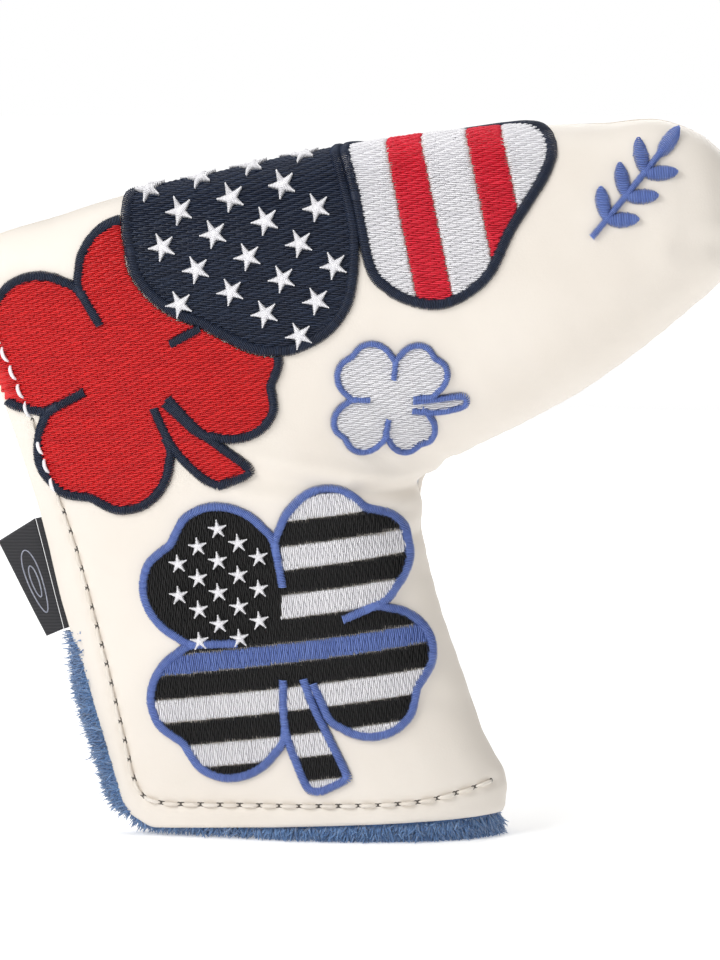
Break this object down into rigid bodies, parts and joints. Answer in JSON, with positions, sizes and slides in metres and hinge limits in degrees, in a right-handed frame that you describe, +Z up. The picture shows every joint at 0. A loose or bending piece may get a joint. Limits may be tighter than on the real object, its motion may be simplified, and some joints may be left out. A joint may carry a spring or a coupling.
{
  "type": "putter head cover",
  "caption": "Padded leather cover that slips over a blade putter's head, plush lined, with two magnetic leaves that open along the heel.",
  "frame": {"origin": "on the floor, below the middle of the cover's box, as it stands on its open hem", "axes": "+X from the heel to the toe, +Y from the front to the back, +Z up from the hem to the crown"},
  "size_m": [0.1787, 0.048, 0.1611],
  "materials": {
    "leather": "cream synthetic leather, satin",
    "foam": "open-cell foam",
    "plush": "blue plush pile",
    "magnet": "nickel plate",
    "thread_cream": "bonded thread",
    "thread_red": "embroidery thread",
    "thread_navy": "embroidery thread",
    "thread_white": "embroidery thread",
    "thread_periwinkle": "embroidery thread",
    "thread_black": "embroidery thread",
    "label_satin": "woven satin"
  },
  "bodies": {
    "cover": {"flag_clover_band": "thread_periwinkle", "flag_clover_border": "thread_periwinkle", "flag_clover_dark": "thread_black", "flag_clover_white": "thread_white", "foam": "foam", "petal_borders": "thread_navy", "plush_lining": "plush", "red_clover_border": "thread_navy", "red_clover_fill": "thread_red", "shell": "leather", "small_clover_border": "thread_periwinkle", "small_clover_fill": "thread_white", "star_petal_field": "thread_navy", "stripe_petal_red": "thread_red", "stripe_petal_white": "thread_white", "toe_mark": "thread_periwinkle", "topstitching": "thread_cream"},
    "front_leaf": {"front_leaf_flag_clover_band": "thread_periwinkle", "front_leaf_flag_clover_border": "thread_periwinkle", "front_leaf_flag_clover_dark": "thread_black", "front_leaf_flag_clover_white": "thread_white", "front_leaf_foam": "foam", "front_leaf_magnet_1": "magnet", "front_leaf_magnet_2": "magnet", "front_leaf_magnet_3": "magnet", "front_leaf_plush_lining": "plush", "front_leaf_red_clover_border": "thread_navy", "front_leaf_red_clover_fill": "thread_red", "front_leaf_shell": "leather", "front_leaf_topstitching": "thread_cream"},
    "back_leaf": {"back_leaf_foam": "foam", "back_leaf_label_tab": "label_satin", "back_leaf_magnet_1": "magnet", "back_leaf_magnet_2": "magnet", "back_leaf_magnet_3": "magnet", "back_leaf_plush_lining": "plush", "back_leaf_shell": "leather", "back_leaf_topstitching": "thread_cream"},
    "label": {"label": "label_satin"}
  },
  "joints": [
    {"name": "front_leaf_open", "type": "hinge", "parent": "cover", "child": "front_leaf", "pos_m": [-0.0345, -0.01725, 0.0619], "axis": [-0.6489, 0.0825, 0.7564], "range_deg": [0, 50], "stiffness_Nm_per_rad": 0.05, "springref_deg": -11.46},
    {"name": "back_leaf_open", "type": "hinge", "parent": "cover", "child": "back_leaf", "pos_m": [-0.0345, 0.01725, 0.0619], "axis": [0.6489, 0.0825, -0.7564], "range_deg": [0, 50], "stiffness_Nm_per_rad": 0.05, "springref_deg": -11.46},
    {"name": "label_swing", "type": "hinge", "parent": "back_leaf", "child": "label", "pos_m": [-0.067, 0, 0.0589], "axis": [0.2444, 0, -0.9697], "range_deg": [-60, 60], "stiffness_Nm_per_rad": 0.002}
  ]
}
